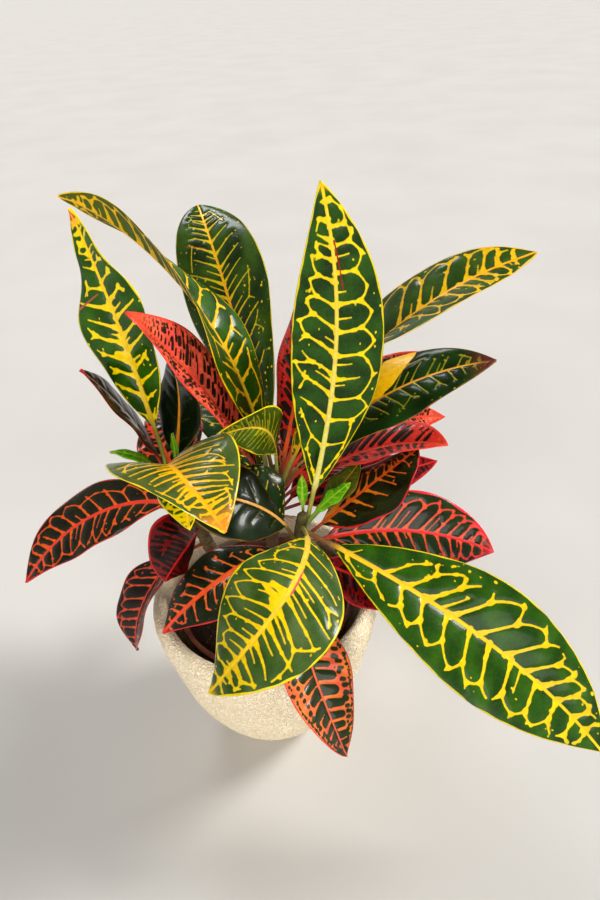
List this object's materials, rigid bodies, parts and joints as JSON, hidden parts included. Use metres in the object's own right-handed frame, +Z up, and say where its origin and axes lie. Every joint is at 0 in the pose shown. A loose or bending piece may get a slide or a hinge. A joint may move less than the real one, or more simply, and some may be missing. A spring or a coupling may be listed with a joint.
{
  "type": "potted croton",
  "caption": "Upright house plant with long glossy leaves veined in yellow, orange and red, rooted in a nursery pot that stands in a round cream planter.",
  "frame": {"origin": "centre of the planter's flat foot, where it stands", "axes": "+Z up along the planter's axis; the plant's front faces -Y; +X to the viewer's right"},
  "size_m": [0.464, 0.3846, 0.5001],
  "materials": {
    "ceramic_cream": "matt, fine wrinkled stipple outside and on the rim, smooth inside",
    "nursery_plastic": "semi-matt moulded plastic",
    "potting_soil": "rough, crumbly, matt",
    "bark": "matt bark with leaf scars",
    "leaf_gold": "glossy, waxy, yellow veins and margin",
    "leaf_ember": "glossy, waxy, orange to red veins",
    "leaf_night": "glossy, waxy, fine yellow-green veins",
    "leaf_coral": "satin, red with black patches",
    "leaf_crimson": "satin, crimson with black patches",
    "leaf_young": "satin, plain fresh green"
  },
  "bodies": {
    "root": {"planter": "ceramic_cream", "nursery_pot": "nursery_plastic", "soil": "potting_soil", "stem_front": "bark", "stem_left": "bark", "stem_back": "bark", "leaf_front_01": "leaf_gold", "leaf_front_02": "leaf_gold", "leaf_front_03": "leaf_gold", "leaf_front_04": "leaf_ember", "leaf_front_05": "leaf_young", "leaf_front_06": "leaf_night", "leaf_front_07": "leaf_ember", "leaf_front_08": "leaf_crimson", "leaf_front_09": "leaf_ember", "leaf_front_10": "leaf_ember", "leaf_front_11": "leaf_night", "leaf_front_12": "leaf_young", "leaf_front_13": "leaf_young", "leaf_left_01": "leaf_gold", "leaf_left_02": "leaf_gold", "leaf_left_03": "leaf_gold", "leaf_left_04": "leaf_ember", "leaf_left_05": "leaf_night", "leaf_left_06": "leaf_ember", "leaf_left_07": "leaf_ember", "leaf_left_08": "leaf_crimson", "leaf_left_09": "leaf_ember", "leaf_back_01": "leaf_gold", "leaf_back_02": "leaf_night", "leaf_back_03": "leaf_coral", "leaf_back_04": "leaf_ember", "leaf_back_05": "leaf_gold", "leaf_back_06": "leaf_gold", "leaf_back_07": "leaf_night", "leaf_back_08": "leaf_coral", "leaf_back_09": "leaf_coral", "leaf_back_10": "leaf_coral", "leaf_back_11": "leaf_crimson", "leaf_back_13": "leaf_ember", "leaf_back_14": "leaf_night", "leaf_back_15": "leaf_crimson", "leaf_back_16": "leaf_crimson", "leaf_back_17": "leaf_ember", "leaf_left_10": "leaf_ember", "leaf_left_11": "leaf_night", "leaf_left_12": "leaf_young", "leaf_left_13": "leaf_young"}
  },
  "joints": []
}
